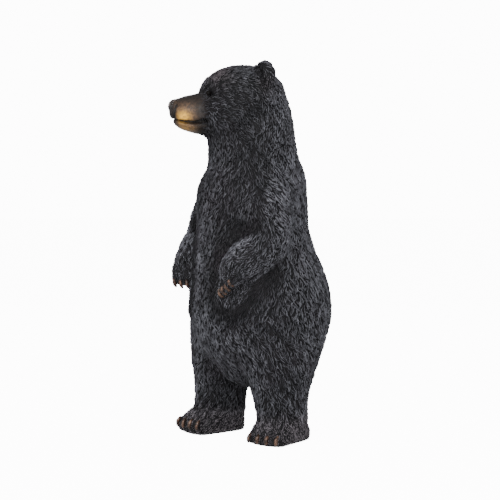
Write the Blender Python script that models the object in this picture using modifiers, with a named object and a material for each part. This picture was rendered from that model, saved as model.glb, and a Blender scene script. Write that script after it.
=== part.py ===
"""Standing black bear statue, cast in one piece and flat under its feet.

Metres, +Z up. The bear looks along -Y, so its left side is at +X.
"""

import math

import bmesh
import bpy
import numpy as np
from mathutils import Matrix, Vector, kdtree

# Driving sizes in metres
HEIGHT = 0.500  # soles to the tip of the ears
EYE_RADIUS = 0.0042
EYE_SUNK = 0.75  # how deep an eye sits, as a share of its radius
TUFT_LENGTH = 0.036
TUFT_WIDTH = 0.017
TUFT_RISE = 0.0034
COAT_BLEND = 0.015  # how far one way of lying eases into the next

# How finely the form is worked
SKIN_VOXEL = 0.0022
SKIN_TRIANGLES = 8150
RING_SIDES = 28
RING_STEPS = 4
TUFT_SEED = 7
SHARP_ANGLE = 50.0

# Pose, in degrees about the vertical
HEAD_TURN = -25.0
LEFT_FOOT_TURN = 23.0
RIGHT_FOOT_TURN = 7.0
EAR_TURN = 20.0


def share(thousandths):
    """A length, given in thousandths of the statue's height."""
    return thousandths * HEIGHT / 1000.0


def place(x, y, z):
    """A point, given in thousandths of the statue's height."""
    return Vector((share(x), share(y), share(z)))


# Each form is a row of sections: centre, half width and half depth, in thousandths of the height
TORSO = [
    ((0, 30, 190), 104, 112),
    ((0, 30, 225), 146, 146),
    ((0, 30, 268), 174, 170),
    ((0, 31, 328), 188, 186),
    ((0, 23, 376), 188, 188),
    ((0, 16, 425), 179, 180),
    ((0, 9, 473), 163, 167),
    ((0, 4, 554), 143, 148),
    ((0, 3, 634), 136, 150),
    ((0, 9, 688), 126, 141),
    ((0, 6, 742), 115, 118),
    ((0, 1, 782), 112, 117),
    ((0, 2, 823), 107, 112),
    ((0, 6, 860), 99, 106),
    ((0, 12, 900), 80, 94),
]
LEFT_ARM = [
    ((70, 0, 650), 70, 84),
    ((112, -28, 612), 62, 70),
    ((138, -36, 572), 55, 62),
    ((150, -38, 532), 48, 54),
    ((141, -76, 499), 44, 50),
    ((124, -118, 468), 39, 43),
    ((121, -134, 448), 38, 32),
    ((118, -140, 427), 35, 23),
]
RIGHT_ARM = [
    ((-70, 0, 650), 70, 84),
    ((-112, -32, 612), 62, 68),
    ((-136, -46, 572), 55, 60),
    ((-146, -58, 532), 46, 52),
    ((-138, -88, 499), 44, 50),
    ((-124, -118, 470), 39, 43),
    ((-114, -136, 444), 42, 33),
    ((-106, -142, 424), 40, 24),
]
LEFT_LEG = [
    ((58, 28, 400), 84, 112),
    ((66, 30, 340), 98, 136),
    ((84, 30, 270), 101, 136),
    ((97, 27, 210), 88, 108),
    ((103, 26, 150), 72, 82),
    ((104, 28, 95), 60, 68),
    ((104, 32, 45), 60, 70),
]
RIGHT_LEG = [
    ((-58, 14, 400), 84, 116),
    ((-68, 6, 340), 100, 134),
    ((-90, -6, 270), 102, 120),
    ((-106, -18, 210), 88, 95),
    ((-115, -23, 150), 72, 77),
    ((-121, -24, 95), 61, 70),
    ((-124, -21, 45), 58, 70),
]
# The foot and the head are laid out in their own frames, with forward along -Y
FOOT = [
    ((0, 81, 14), 48, 42),
    ((0, 38, 28), 55, 54),
    ((0, -10, 32), 60, 50),
    ((0, -38, 26), 61, 42),
    ((0, -60, 14), 57, 32),
]
SKULL = [
    ((0, 60, -18), 84, 74),
    ((0, 36, -10), 103, 87),
    ((0, 0, -5), 111, 91),
    ((0, -38, -7), 105, 89),
    ((0, -70, -17), 88, 77),
    ((0, -87, -28), 69, 61),
]
MUZZLE = [
    ((0, -86, -44), 70, 60),
    ((0, -119, -44), 54, 54),
    ((0, -145, -39), 46, 51),
    ((0, -167, -36), 41, 45),
    ((0, -182, -33), 36, 37),
]
LEFT_FOOT_AT = (116, 14, 0)
RIGHT_FOOT_AT = (-122, -56, 0)
HEAD_AT = (0, -20, 903)
EAR_AT = (76, 41, 58.7)
EAR_SIZE = (38, 28, 39)
EAR_RIM = 0.72  # how far out the bowl of an ear reaches, as a share of its size
EAR_CUP = 0.84  # how far forward the rim stands
NOSE_AT = (0, -187, -20)
NOSE_SIZE = (25, 18, 19)
EYE_AT = (58, -104, 12)
CHEEK_AT = (62, -36, -46)
CHEEK_SIZE = (52, 66, 52)
BROW_AT = (42, -76, 24)
BROW_SIZE = (34, 26, 26)
DIGITS = 4  # toes of a foot, and fingers of a hand
TOE_SPREAD = 28
TOE_REACH = 74  # from the middle of the foot forward to the tips of its middle toes
FINGER_SPREAD = 19.5
LEFT_HAND_SIDE = (0.85, 0.0, 0.53)
RIGHT_HAND_SIDE = (0.85, 0.53, 0.0)
# A claw hugs the front of its toe: how far forward and how high its points are, and its half widths
LEFT_TOE_CLAW = [(8, 32), (-3, 26), (-9, 17), (-9, 6)]
RIGHT_TOE_CLAW = [(8, 42), (-2, 36), (-8, 27), (-9, 16)]
FINGER_CLAW = [(9, -9), (10, 0), (3, 8), (-7, 11)]
CLAW_WIDTHS = [3.4, 4.7, 4.7, 3.0]
END_BULGE = 0.55  # how far an end cap reaches, as a share of its section
MUZZLE_STARTS = 96  # how far before the middle of the head the coat ends
COAT_FADES = 34
MUZZLE_RISE = 110
INSTEP_RISE = 66
TAIL_AT = (0, 192, 262)
TAIL_SIZE = (22, 26, 34)
NOSTRIL_AT = (12, -202, -18)
MOUTH_LINE = [
    (0, -196, -58),
    (14, -192, -58),
    (26, -183, -62),
    (32, -172, -64),
    (38, -152, -67),
    (44, -132, -68),
    (52, -110, -64),
]

# How the coat lies: a place and the way that the hair runs there, mirrored where it is off the middle
COAT_LIES = [
    ((0, 125, 850), (0, 0.1, -1)),
    ((0, 150, 650), (0, 0.1, -1)),
    ((0, 180, 480), (0, 0.3, -1)),
    ((0, 215, 330), (0, 0.0, -1)),
    ((0, -115, 790), (0, 0, -1)),
    ((0, -145, 640), (0, 0, -1)),
    ((0, -165, 470), (0, 0, -1)),
    ((0, -165, 330), (0, 0, -1)),
    ((108, 0, 810), (-0.1, -0.45, -1)),
    ((70, -110, 740), (-0.35, 0, -1)),
    ((75, -130, 600), (-0.45, -0.1, -1)),
    ((100, 120, 640), (0.1, 0.2, -1)),
    ((125, -10, 690), (0.2, 0.45, -1)),
    ((190, -30, 580), (0, 0.5, -1)),
    ((196, -40, 510), (-0.1, -0.3, -0.8)),
    ((160, -90, 490), (-0.3, -0.9, -0.6)),
    ((125, -140, 450), (-0.2, -0.6, -0.8)),
    ((110, -160, 420), (0, -0.2, -1)),
    ((120, -90, 400), (-0.6, 0, -1)),
    ((188, 20, 400), (-0.1, 0.1, -1)),
    ((130, 150, 400), (0.2, 0.2, -1)),
    ((150, 0, 250), (-0.1, 0.6, -1)),
    ((120, -90, 250), (0.4, 0.4, -1)),
    ((110, 120, 220), (0, -0.2, -1)),
    ((150, 20, 120), (0, 0.5, -1)),
    ((110, -60, 110), (0.1, -0.1, -1)),
    ((115, -80, 50), (0, -1, -0.5)),
]
HEAD_COAT_LIES = [
    ((20, -90, 40), (0.1, 0.4, 0.8)),
    ((30, -40, 85), (0.2, 1, 0.2)),
    ((30, 50, 80), (0.2, 1, -0.4)),
    ((80, -80, -20), (0.2, 1, -0.3)),
    ((105, -30, -20), (0, 1, -0.8)),
    ((95, -20, -80), (0, 0.7, -1)),
    ((105, 50, 0), (0, 0.4, -1)),
    ((40, -110, -90), (0.2, 1, -0.5)),
    ((40, -130, 0), (0.2, 1, 0.2)),
]


def rise(points, at):
    """The value at a place along a row of points, on a smooth curve through them all."""
    last = len(points) - 1
    i = min(int(at), last - 1)
    t = at - i
    before = points[max(i - 1, 0)]
    after = points[min(i + 2, last)]
    here, there = points[i], points[i + 1]
    return (
        here * (1 - t) ** 2 * (1 + 2 * t)
        + there * t * t * (3 - 2 * t)
        + (there - before) * 0.5 * t * (1 - t) ** 2
        - (after - here) * 0.5 * t * t * (1 - t)
    )


def loft(bm, sections, side, sides=RING_SIDES, steps=RING_STEPS, leans=(30, 55, 75, 86)):
    """Adds a closed body to bm that runs smoothly through the sections, with rounded ends."""
    centres = [c for c, _, _ in sections]
    widths = [share(w) for _, w, _ in sections]
    depths = [share(d) for _, _, d in sections]
    rings = []
    for k in range((len(sections) - 1) * steps + 1):
        at = k / steps
        ahead = min(at + 0.05, len(sections) - 1)
        behind = max(at - 0.05, 0)
        along = (rise(centres, ahead) - rise(centres, behind)).normalized()
        rings.append((rise(centres, at), along, rise(widths, at), rise(depths, at)))
    caps = []
    for (centre, along, width, depth), way in ((rings[0], -1), (rings[-1], 1)):
        reach = min(width, depth) * way * END_BULGE
        cap = []
        for lean in leans:
            a = math.radians(lean)
            over = along * reach * math.sin(a)
            cap.append((centre + over, along, width * math.cos(a), depth * math.cos(a)))
        caps.append(cap)
    before = None
    for centre, along, width, depth in caps[0][::-1] + rings + caps[1]:
        across = (side - along * side.dot(along)).normalized()
        turn = Matrix((across, along.cross(across), along)).transposed().to_4x4()
        made = bmesh.ops.create_circle(
            bm,
            segments=sides,
            radius=1.0,
            matrix=Matrix.Translation(centre) @ turn @ Matrix.Diagonal((width, depth, 1, 1)),
        )
        edges = list(dict.fromkeys(e for v in made["verts"] for e in v.link_edges))
        if before:
            bmesh.ops.bridge_loops(bm, edges=before + edges)
        before = edges
    bmesh.ops.holes_fill(bm, edges=[e for e in bm.edges if e.is_boundary], sides=0)


def body(bm, sections, side, frame=Matrix.Identity(4)):
    """Adds one of the named forms to bm, in a frame of its own."""
    loft(bm, [(frame @ place(*at), w, d) for at, w, d in sections], frame.to_3x3() @ side)


def ball(bm, at, size, frame):
    """Adds an ellipsoid to bm and returns its points."""
    matrix = frame @ Matrix.Translation(place(*at)) @ Matrix.Diagonal((*(share(s) for s in size), 1))
    made = bmesh.ops.create_uvsphere(bm, u_segments=24, v_segments=16, radius=1.0, matrix=matrix)
    return made["verts"], matrix


def turned(at, degrees):
    """The frame of a piece that stands at a point and is turned about the vertical."""
    return Matrix.Translation(place(*at)) @ Matrix.Rotation(math.radians(degrees), 4, "Z")


def ear(bm, head, way):
    """Adds an ear: an ellipsoid whose front is pressed in like a bowl."""
    x, y, z = EAR_AT
    frame = head @ turned((x * way, y, z), EAR_TURN * way)
    points, shape = ball(bm, (0, 0, 0), EAR_SIZE, frame)
    back = shape.inverted()
    for point in points:
        p = back @ point.co
        spread = math.hypot(p.x, p.z)
        if p.y < 0:
            rim = EAR_CUP * (spread - 1) / (1 - EAR_RIM)
            bowl = EAR_CUP * (1.5 * (EAR_RIM - spread) - 1)
            p.y = rim if spread > EAR_RIM else bowl
        point.co = shape @ p


def digit_places():
    """How far each toe or finger stands from the middle of its row, counted in toes."""
    return [k - (DIGITS - 1) / 2 for k in range(DIGITS)]


def toe_rows(foot, claw_line):
    """The toes of a foot: the sections of each, the line of its claw, and its side."""
    side = foot.to_3x3() @ Vector((1, 0, 0))
    toes = []
    for k in digit_places():
        x = k * TOE_SPREAD
        tip = 3 * abs(k) - TOE_REACH
        row = [
            ((x * 0.56, 8, 75), 10, 10),
            ((x * 0.76, -20, 60), 11, 14),
            ((x * 0.92, -46, 40), 12, 16),
            ((x, tip + 8, 22), 12, 18),
            ((x * 1.02, tip, 12), 11.5, 14),
        ]
        line = [foot @ place(x * 1.02, tip + y, z) for y, z in claw_line]
        toes.append(([(foot @ place(*at), w, d) for at, w, d in row], line, side))
    return toes


def finger_rows(arm, side):
    """The fingers that hang from the end of an arm, laid out as the toes are."""
    end = Vector(arm[-1][0])
    down = (end - Vector(arm[-2][0])).normalized()
    front = down.cross(side).normalized()
    if front.y > 0:
        front.negate()
    fingers = []
    for k in digit_places():
        across = side * k * FINGER_SPREAD
        drop = 15 - 2.5 * abs(k)
        row = [
            (end + across * 0.75 - down * 48 + front * 6, 9, 12),
            (end + across * 0.9 - down * 24 + front * 3, 10, 14),
            (end + across, 10.5, 14),
            (end + across + down * drop, 9.5, 11),
        ]
        line = [place(*(end + across + down * (drop + z) + front * y)) for y, z in FINGER_CLAW]
        fingers.append(([(place(*at), w, d) for at, w, d in row], line, side))
    return fingers


def claw(bm, line, side):
    """Adds a blunt claw that runs along a line of four points."""
    loft(bm, list(zip(line, CLAW_WIDTHS, CLAW_WIDTHS)), side, sides=6, steps=1, leans=(50,))


def stand(mesh, name):
    """Puts a mesh in the scene under a name."""
    obj = bpy.data.objects.new(name, mesh)
    bpy.context.scene.collection.objects.link(obj)
    return obj


def mesh_of(bm, name):
    """Turns bm into a mesh whose faces point out."""
    bmesh.ops.recalc_face_normals(bm, faces=bm.faces)
    mesh = bpy.data.meshes.new(name)
    bm.to_mesh(mesh)
    bm.free()
    return mesh


def settled(obj):
    """Replaces an object by the mesh that its modifiers make, and returns that mesh."""
    graph = bpy.context.evaluated_depsgraph_get()
    mesh = bpy.data.meshes.new_from_object(obj.evaluated_get(graph))
    bpy.data.objects.remove(obj)
    return mesh


def skinned(mesh, rounds):
    """One continuous skin over all the bodies of a mesh, with its joints smoothed."""
    obj = stand(mesh, "skin")
    skin = obj.modifiers.new("skin", "REMESH")
    skin.mode = "VOXEL"
    skin.voxel_size = SKIN_VOXEL
    ease = obj.modifiers.new("ease", "SMOOTH")
    ease.factor = 0.5
    ease.iterations = rounds
    return settled(obj)


def numbers(mesh):
    """The places and outward normals of a mesh's points, as arrays."""
    at = np.empty(len(mesh.vertices) * 3)
    mesh.vertices.foreach_get("co", at)
    out = np.empty(len(mesh.vertices) * 3)
    mesh.vertex_normals.foreach_get("vector", out)
    return at.reshape(-1, 3), out.reshape(-1, 3)


def unit(rows):
    """Each row of an array at length one."""
    return rows / np.maximum(np.linalg.norm(rows, axis=-1, keepdims=True), 1e-9)


def coat_ways(at, out, head):
    """The way that the coat lies at each point, blended from the guides that are near it."""
    guides = [(place(*a), Vector(way)) for a, way in COAT_LIES]
    guides += [(Vector((-a.x, a.y, a.z)), Vector((-w.x, w.y, w.z))) for a, w in guides if a.x]
    for (x, y, z), way in HEAD_COAT_LIES:
        for turn in (-1, 1):
            lie = head.to_3x3() @ Vector((way[0] * turn, way[1], way[2]))
            guides.append((head @ place(x * turn, y, z), lie))
    total = np.zeros_like(at)
    for a, way in guides:
        near = np.sum((at - np.array(a)) ** 2, axis=1)
        total += np.array(way.normalized()) / (near + COAT_BLEND**2)[:, None] ** 2
    total -= out * np.sum(total * out, axis=1, keepdims=True)
    return unit(total)


def bareness(at, head):
    """One on the muzzle, nose, ears and feet, which are smooth, and zero on the shaggy coat."""
    local = np.array([head.inverted() @ Vector(p) for p in at])
    muzzle = np.clip((share(-MUZZLE_STARTS) - local[:, 1]) / share(COAT_FADES), 0, 1)
    muzzle *= np.abs(local[:, 2]) < share(MUZZLE_RISE)
    ears = np.clip((local[:, 2] - share(48)) / share(20), 0, 1)
    ears *= np.abs(local[:, 0]) > share(44)
    feet = np.clip((share(INSTEP_RISE) - at[:, 2]) / share(COAT_FADES), 0, 1)
    return np.maximum(np.maximum(muzzle, ears), feet)


def add_tufts(mesh, head):
    """Raises the coat's locks: overlapping scales that rise slowly and end in a pointed step."""
    at, out = numbers(mesh)
    lie = coat_ways(at, out, head)
    bare = bareness(at, head)
    tree = kdtree.KDTree(len(at))
    for i, point in enumerate(at):
        tree.insert(point, i)
    tree.balance()
    order = np.random.default_rng(TUFT_SEED).permutation(len(at))
    taken = np.zeros(len(at), bool)
    height = np.zeros(len(at))
    for i in order:
        if taken[i] or bare[i] > 0.5:
            continue
        near = np.array([n for _, n, _ in tree.find_range(at[i], TUFT_LENGTH)])
        gap = at[near] - at[i]
        same_side = out[near] @ out[i] > 0.3
        along = gap @ lie[i] / TUFT_LENGTH
        across = gap @ np.cross(out[i], lie[i]) / TUFT_WIDTH
        taken[near[(np.abs(along) < 0.3) & (np.abs(across) < 0.5)]] = True
        edge = 0.5 * np.sqrt(np.clip(1 - along, 0, 1))
        inside = same_side & (along > -0.25) & (along < 1) & (np.abs(across) < edge)
        crown = 1 - (across / np.maximum(edge, 1e-6)) ** 2
        lift = (0.25 + 0.75 * np.clip(along + 0.25, 0, 1)) * (0.35 + 0.65 * crown)
        height[near] = np.where(inside, np.maximum(height[near], lift), height[near])
    height = TUFT_RISE * (height - 0.45) * (1 - bare)
    moved = at + out * height[:, None]
    mesh.vertices.foreach_set("co", moved.ravel())
    mesh.update()


def on_skin(mesh, point, depth=0.0):
    """The point of a mesh that is nearest to a place, moved in by a depth."""
    at, out = numbers(mesh)
    i = np.argmin(np.sum((at - np.array(point)) ** 2, axis=1))
    return Vector(at[i] - out[i] * depth)


def press_line(mesh, line, half_width, depth):
    """Presses a groove into a mesh along a line of points."""
    at, out = numbers(mesh)
    nearest = np.full(len(at), np.inf)
    for a, b in zip(line[:-1], line[1:]):
        a, b = np.array(a), np.array(b)
        t = np.clip((at - a) @ (b - a) / np.sum((b - a) ** 2), 0, 1)
        nearest = np.minimum(nearest, np.linalg.norm(at - a - t[:, None] * (b - a), axis=1))
    push = depth * np.exp(-((nearest / half_width) ** 2))
    mesh.vertices.foreach_set("co", (at - out * push[:, None]).ravel())
    mesh.update()


def face_lines(mesh, head):
    """Presses in the mouth and the nostrils."""
    for way in (-1, 1):
        mouth = [on_skin(mesh, head @ place(x * way, y, z)) for x, y, z in MOUTH_LINE]
        press_line(mesh, mouth, share(4), share(7))
        x, y, z = NOSTRIL_AT
        nostril = head @ place(x * way, y, z)
        press_line(mesh, [nostril, nostril + Vector((0, 0, share(3)))], share(5), share(7))


def thinned(mesh):
    """The same form, eased a little, in fewer triangles."""
    obj = stand(mesh, "thinned")
    ease = obj.modifiers.new("ease", "SMOOTH")
    ease.iterations = 2
    thin = obj.modifiers.new("thin", "DECIMATE")
    thin.ratio = SKIN_TRIANGLES / sum(len(p.vertices) - 2 for p in mesh.polygons)
    return settled(obj)


def flat_below(mesh):
    """Cuts a mesh off at the ground and closes the soles with flat faces."""
    bm = bmesh.new()
    bm.from_mesh(mesh)
    everything = bm.verts[:] + bm.edges[:] + bm.faces[:]
    bmesh.ops.bisect_plane(bm, geom=everything, plane_co=(0, 0, 0), plane_no=(0, 0, 1), clear_inner=True)
    bmesh.ops.holes_fill(bm, edges=[e for e in bm.edges if e.is_boundary], sides=0)
    return mesh_of(bm, "footed")


def coat_paint():
    """The statue's near-black painted resin."""
    material = bpy.data.materials.new("black coat")
    material.use_nodes = True
    paint = material.node_tree.nodes["Principled BSDF"]
    paint.inputs["Base Color"].default_value = (0.017, 0.016, 0.018, 1)
    paint.inputs["Roughness"].default_value = 0.42
    paint.inputs["Metallic"].default_value = 0.0
    return material


def collection(name):
    """A new collection in the scene."""
    group = bpy.data.collections.new(name)
    bpy.context.scene.collection.children.link(group)
    return group


def main():
    for obj in list(bpy.data.objects):
        bpy.data.objects.remove(obj)
    head = turned(HEAD_AT, HEAD_TURN)
    left_foot = turned(LEFT_FOOT_AT, LEFT_FOOT_TURN)
    right_foot = turned(RIGHT_FOOT_AT, RIGHT_FOOT_TURN)
    sideways = Vector((1, 0, 0))

    bm = bmesh.new()
    body(bm, TORSO, sideways)
    body(bm, LEFT_ARM, Vector(LEFT_HAND_SIDE))
    body(bm, RIGHT_ARM, Vector(RIGHT_HAND_SIDE))
    body(bm, LEFT_LEG, sideways)
    body(bm, RIGHT_LEG, sideways)
    body(bm, FOOT, sideways, left_foot)
    body(bm, FOOT, sideways, right_foot)
    body(bm, SKULL, sideways, head)
    body(bm, MUZZLE, sideways, head)
    for way in (-1, 1):
        ball(bm, (CHEEK_AT[0] * way, *CHEEK_AT[1:]), CHEEK_SIZE, head)
        ball(bm, (BROW_AT[0] * way, *BROW_AT[1:]), BROW_SIZE, head)
    ball(bm, TAIL_AT, TAIL_SIZE, Matrix.Identity(4))
    form = skinned(mesh_of(bm, "form"), 60)

    digits = toe_rows(left_foot, LEFT_TOE_CLAW) + toe_rows(right_foot, RIGHT_TOE_CLAW)
    digits += finger_rows(LEFT_ARM, Vector(LEFT_HAND_SIDE))
    digits += finger_rows(RIGHT_ARM, Vector(RIGHT_HAND_SIDE))
    bm = bmesh.new()
    for way in (-1, 1):
        ear(bm, head, way)
    ball(bm, NOSE_AT, NOSE_SIZE, head)
    for row, _, side in digits:
        loft(bm, row, side, sides=12, steps=3)
    bmesh.ops.recalc_face_normals(bm, faces=bm.faces)
    bm.from_mesh(form)
    skin = skinned(mesh_of(bm, "skin"), 3)

    eyes = []
    for way in (-1, 1):
        eye = head @ place(EYE_AT[0] * way, EYE_AT[1], EYE_AT[2])
        eyes.append(on_skin(skin, eye, EYE_RADIUS * EYE_SUNK))
    add_tufts(skin, head)
    face_lines(skin, head)
    for eye in eyes:
        press_line(skin, [eye, eye + Vector((0, 0, share(3)))], share(13), share(6))
    bear = stand(flat_below(thinned(skin)), "bear")

    bm = bmesh.new()
    for _, line, side in digits:
        claw(bm, line, side)
    for eye in eyes:
        bmesh.ops.create_icosphere(bm, subdivisions=2, radius=EYE_RADIUS, matrix=Matrix.Translation(eye))
    added = stand(mesh_of(bm, "claws and eyes"), "claws and eyes")
    joined = bear.modifiers.new("claws and eyes", "BOOLEAN")
    joined.operation = "UNION"
    joined.object = added
    cast = settled(bear)
    bpy.data.objects.remove(added)

    at, _ = numbers(cast)
    middle = (at.min(axis=0) + at.max(axis=0)) / 2
    cast.transform(Matrix.Translation((-middle[0], -middle[1], 0)))
    cast.shade_smooth()
    cast.set_sharp_from_angle(angle=math.radians(SHARP_ANGLE))
    cast.materials.clear()
    cast.materials.append(coat_paint())
    bear = bpy.data.objects.new("bear", cast)
    collection("bear statue").objects.link(bear)
    return bear


main()
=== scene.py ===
# %% [markdown]
# # A standing black bear, cast in resin and painted by hand
#
# The real figure is one hollow casting. A carver cut its coat in clay first: broad locks, then
# thousands of short gouge strokes that follow the way the hair lies. The cast was painted almost
# black, the muzzle was sprayed tan, and the claws were picked out in copper with a small brush.
#
# The finish is built in the same order here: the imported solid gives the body, a finer skin over it
# takes the face and the toes, and then the strokes are laid on it one by one.

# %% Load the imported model
import math

import bpy
import numpy as np
from mathutils import Matrix, Vector, bvhtree, kdtree


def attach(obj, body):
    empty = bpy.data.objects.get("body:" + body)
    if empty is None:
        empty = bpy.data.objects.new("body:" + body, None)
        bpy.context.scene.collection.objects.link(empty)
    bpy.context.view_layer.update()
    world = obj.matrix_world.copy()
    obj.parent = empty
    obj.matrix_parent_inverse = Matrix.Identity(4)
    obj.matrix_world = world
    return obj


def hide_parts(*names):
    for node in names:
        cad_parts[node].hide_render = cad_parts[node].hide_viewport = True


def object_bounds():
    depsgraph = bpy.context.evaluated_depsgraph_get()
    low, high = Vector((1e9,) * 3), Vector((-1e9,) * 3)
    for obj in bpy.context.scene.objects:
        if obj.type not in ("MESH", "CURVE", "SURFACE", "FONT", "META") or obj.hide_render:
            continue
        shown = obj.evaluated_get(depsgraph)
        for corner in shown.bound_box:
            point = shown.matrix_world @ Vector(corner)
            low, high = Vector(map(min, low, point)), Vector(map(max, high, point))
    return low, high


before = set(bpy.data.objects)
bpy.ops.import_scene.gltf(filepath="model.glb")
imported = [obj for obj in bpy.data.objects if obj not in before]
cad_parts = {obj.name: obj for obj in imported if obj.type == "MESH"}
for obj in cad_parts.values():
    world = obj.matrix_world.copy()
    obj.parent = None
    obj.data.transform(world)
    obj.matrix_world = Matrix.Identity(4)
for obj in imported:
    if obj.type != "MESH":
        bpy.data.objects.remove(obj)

cad_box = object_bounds()
print("nodes:", sorted(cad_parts), "box:", [tuple(round(v, 4) for v in c) for c in cad_box])

# %% [markdown]
# ## Measures
#
# A place on the bear is named in thousandths of its height, so that it holds for any size of bear. The
# head and the feet are turned, so each of them has a frame of its own with forward along -Y.

# %% Places in thousandths of the height
HEIGHT = 0.500
MIDDLE = (0.0011, 0.0028)  # where the middle of the floor print lies, seen from the axis of the body


def share(thousandths):
    """A length, given in thousandths of the statue's height."""
    return thousandths * HEIGHT / 1000


def span(x, y, z):
    """A step from one point to another, in thousandths of the height."""
    return Vector((share(x), share(y), share(z)))


def place(x, y, z):
    """A point on the statue, in thousandths of the height from the axis of its body."""
    return span(x, y, z) - Vector((*MIDDLE, 0))


def turned(at, degrees):
    """The frame of a form that stands at a point and is turned about the vertical."""
    return Matrix.Translation(place(*at)) @ Matrix.Rotation(math.radians(degrees), 4, "Z")


HEAD = turned((0, -20, 903), -25)
LEFT_FOOT = turned((116, 14, 0), 23)
RIGHT_FOOT = turned((-122, -56, 0), 7)
print("head stands at", tuple(round(v, 3) for v in HEAD.translation))

# %% [markdown]
# ## The skin
#
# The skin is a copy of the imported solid, because that already has the right pose and size. The solid
# has few and large triangles, so the copy is merged, given an even net of small faces by a voxel
# remesh, and eased until the old facets are gone. The face, hands and feet are then divided once
# more, since they carry the finest forms.

# %% Working on one piece at a time
def only(piece):
    """Selects one piece and makes it active."""
    bpy.ops.object.select_all(action="DESELECT")
    piece.select_set(True)
    bpy.context.view_layer.objects.active = piece


def linked(name, data):
    """A new object in the scene from a mesh, lamp or camera."""
    made = bpy.data.objects.new(name, data)
    bpy.context.scene.collection.objects.link(made)
    return made


def added(name, primitive, **settings):
    """A new primitive, made with nothing else selected."""
    bpy.ops.object.select_all(action="DESELECT")
    primitive(**settings)
    made = bpy.context.active_object
    made.name = name
    return made


def unselected(piece, kind):
    """Clears the selection inside a piece, so that code can choose."""
    only(piece)
    bpy.ops.object.mode_set(mode="EDIT")
    bpy.ops.mesh.select_mode(type=kind)
    bpy.ops.mesh.select_all(action="DESELECT")
    bpy.ops.object.mode_set(mode="OBJECT")


def applied(piece, kind, **settings):
    """Gives a piece a modifier and applies it."""
    only(piece)
    modifier = piece.modifiers.new(kind.lower(), kind)
    for name, value in settings.items():
        setattr(modifier, name, value)
    bpy.ops.object.modifier_apply(modifier=modifier.name)


def points(piece):
    """The places and outward normals of a piece's points, as arrays."""
    at = np.empty(len(piece.data.vertices) * 3)
    piece.data.vertices.foreach_get("co", at)
    out = np.empty(len(at))
    piece.data.vertex_normals.foreach_get("vector", out)
    return at.reshape(-1, 3), out.reshape(-1, 3)


def put(piece, at):
    """Moves a piece's points to new places."""
    piece.data.vertices.foreach_set("co", np.ascontiguousarray(at).ravel())
    piece.data.update()


def within(frame_of, at):
    """Places seen from a form's own frame, in thousandths of the height."""
    back = np.array(frame_of.inverted())
    return (at @ back[:3, :3].T + back[:3, 3]) * 1000 / HEIGHT


def away(at, spot):
    """How far places are from one spot."""
    return np.linalg.norm(at - np.array(spot), axis=1)


def fade(value, none, full):
    """Zero at one value and one at another, with a smooth change between."""
    t = np.clip((value - none) / (full - none), 0, 1)
    return t * t * (3 - 2 * t)


def in_box(at, under=0.0):
    """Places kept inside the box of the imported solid."""
    return np.clip(at, np.array(cad_box[0]) + [0, 0, under], np.array(cad_box[1]))


print("packed solid:", len(points(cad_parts["bear"])[0]), "points")


# %% Copy, merge, remesh and ease the skin
SKIN_NET = 0.0027
DOUBLES = 0.00001
EASING_ROUNDS = 12  # each eases the net and swells it back, so that the form keeps its size

skin = linked("skin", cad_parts["bear"].data.copy())
only(skin)
bpy.ops.object.mode_set(mode="EDIT")
bpy.ops.mesh.select_all(action="SELECT")
bpy.ops.mesh.remove_doubles(threshold=DOUBLES)
bpy.ops.object.mode_set(mode="OBJECT")
applied(skin, "REMESH", mode="VOXEL", voxel_size=SKIN_NET)
for _ in range(EASING_ROUNDS):
    applied(skin, "SMOOTH", factor=0.6, iterations=1)
    applied(skin, "SMOOTH", factor=-0.62, iterations=1)
applied(skin, "SMOOTH", factor=0.5, iterations=2)
print("skin:", len(skin.data.polygons), "faces")


# %% Divide the face, hands and feet
def divide(piece, chosen):
    """Divides the chosen faces of a piece once."""
    unselected(piece, "FACE")
    piece.data.polygons.foreach_set("select", chosen)
    bpy.ops.object.mode_set(mode="EDIT")
    bpy.ops.mesh.subdivide(number_cuts=1, smoothness=0.0)
    bpy.ops.object.mode_set(mode="OBJECT")


def face_middles(piece):
    """The middle of each face of a piece."""
    at = np.empty(len(piece.data.polygons) * 3)
    piece.data.polygons.foreach_get("center", at)
    return at.reshape(-1, 3)


def on_face(at, starts):
    """Whether each place is on the front of the head, ahead of a line across it."""
    head = within(HEAD, at)
    return (head[:, 1] < starts) & (np.abs(head[:, 2]) < FACE_REACH)


def on_toes(foot, at):
    """Whether each place is on the front half of a foot, above its sole."""
    x, y, z = within(foot, at).T
    return (y < -20) & (z < 75) & (np.abs(x) < 75) & (z > 2)


HANDS = [(118, -140, 427), (-106, -142, 424)]
HAND_REACH = 62
FACE_REACH = 110
EYES_START = -84
MUZZLE_STARTS = -100

middles = face_middles(skin)
fine = on_face(middles, EYES_START) | on_toes(LEFT_FOOT, middles) | on_toes(RIGHT_FOOT, middles)
for hand in HANDS:
    fine |= away(middles, place(*hand)) < share(HAND_REACH)
divide(skin, fine)
divide(skin, on_face(face_middles(skin), MUZZLE_STARTS))
applied(skin, "SMOOTH", factor=0.5, iterations=2)
print("skin after dividing:", sum(len(p.vertices) - 2 for p in skin.data.polygons), "triangles")

# %% [markdown]
# ## Carving the face
#
# A carver cuts a face with a round gouge for grooves and a thumb for swellings. Two functions do the
# same to the skin's points: one presses a groove along a line, the other raises or sinks a round
# patch. Lines are given in the head's frame, once, and mirrored for the other side.

# %% The gouge and the thumb
def beside(at, line):
    """How far each point is from a line of points."""
    nearest = np.full(len(at), np.inf)
    for a, b in zip(line[:-1], line[1:]):
        a, b = np.array(a), np.array(b)
        t = np.clip((at - a) @ (b - a) / max(np.sum((b - a) ** 2), 1e-12), 0, 1)
        nearest = np.minimum(nearest, np.linalg.norm(at - a - t[:, None] * (b - a), axis=1))
    return nearest


def close_to(piece, line, half_width):
    """One for the points of a piece on a line, and less the further they are from it."""
    at, _ = points(piece)
    return np.exp(-((beside(at, line) / half_width) ** 2))


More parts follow.
